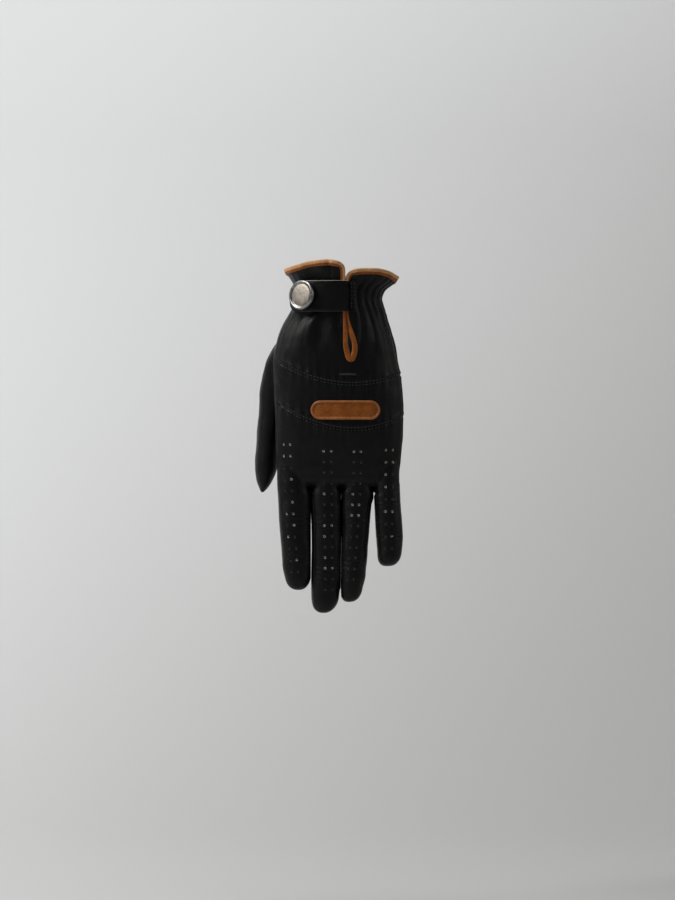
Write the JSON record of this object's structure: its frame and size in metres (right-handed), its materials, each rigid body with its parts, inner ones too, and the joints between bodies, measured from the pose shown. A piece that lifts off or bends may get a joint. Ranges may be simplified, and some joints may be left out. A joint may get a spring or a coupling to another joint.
{
  "type": "golf glove",
  "caption": "Left-hand leather golf glove with perforated fingers, gathered wrist, tan binding and patch, and a snap tab over a keyhole slit.",
  "frame": {"origin": "centre of the wrist opening, in the plane of the cuff mouth", "axes": "+Z out of the wrist opening, fingers point to -Z; +Y towards the palm, so the back of the hand faces -Y; the thumb is on the -X side"},
  "size_m": [0.0964, 0.055, 0.2305],
  "materials": {
    "black_leather": "soft black sheepskin, satin",
    "side_leather": "soft black leather for the finger sides",
    "tan_leather": "smooth tan leather",
    "black_thread": "twisted black sewing thread",
    "tan_thread": "twisted tan sewing thread",
    "snap_metal": "brushed, a little worn",
    "button_face": "satin plate, bare",
    "elastic": "woven elastic band"
  },
  "bodies": {
    "hand": {"cuff_back_panel": "black_leather", "band_back_panel": "black_leather", "knuckle_back_panel": "black_leather", "palm_panel": "black_leather", "thumb_gusset": "black_leather", "cuff_binding": "tan_leather", "placket_binding": "tan_leather", "wrist_elastic": "elastic", "tab_root": "black_leather", "tab_thread": "black_thread", "patch": "tan_leather", "patch_thread": "tan_thread", "upper_seam_thread": "black_thread", "lower_seam_thread": "black_thread", "keyhole_bar_tack": "black_thread", "snap_stud": "snap_metal", "snap_post": "snap_metal"},
    "tab": {"tab_strap": "black_leather", "snap_socket": "snap_metal", "snap_cap": "snap_metal", "button_inset": "button_face"},
    "index_finger": {"index_back": "black_leather", "index_palm": "black_leather", "index_fourchette": "side_leather"},
    "middle_finger": {"middle_back": "black_leather", "middle_palm": "black_leather", "middle_fourchette_index_side": "side_leather", "middle_fourchette_ring_side": "side_leather"},
    "ring_finger": {"ring_back": "black_leather", "ring_palm": "black_leather", "ring_fourchette_middle_side": "side_leather", "ring_fourchette_little_side": "side_leather"},
    "little_finger": {"little_back": "black_leather", "little_palm": "black_leather", "little_fourchette": "side_leather"},
    "thumb": {"thumb_back": "black_leather", "thumb_palm": "black_leather"}
  },
  "joints": [
    {"name": "tab_open", "type": "hinge", "parent": "hand", "child": "tab", "pos_m": [0.00544, -0.02288, -0.019], "axis": [0, 0, 1], "range_deg": [0, 140]},
    {"name": "index_curl", "type": "hinge", "parent": "hand", "child": "index_finger", "pos_m": [-0.02895, 0, -0.142], "axis": [1, 0, 0], "range_deg": [0, 70]},
    {"name": "middle_curl", "type": "hinge", "parent": "hand", "child": "middle_finger", "pos_m": [-0.00935, 0, -0.143], "axis": [1, 0, 0], "range_deg": [0, 70]},
    {"name": "ring_curl", "type": "hinge", "parent": "hand", "child": "ring_finger", "pos_m": [0.01015, 0, -0.142], "axis": [1, 0, 0], "range_deg": [0, 70]},
    {"name": "little_curl", "type": "hinge", "parent": "hand", "child": "little_finger", "pos_m": [0.0285, 0, -0.135], "axis": [1, 0, 0], "range_deg": [0, 70]},
    {"name": "thumb_bend", "type": "hinge", "parent": "hand", "child": "thumb", "pos_m": [-0.046, 0.017, -0.108], "axis": [1, 0, 0], "range_deg": [0, 45]}
  ]
}
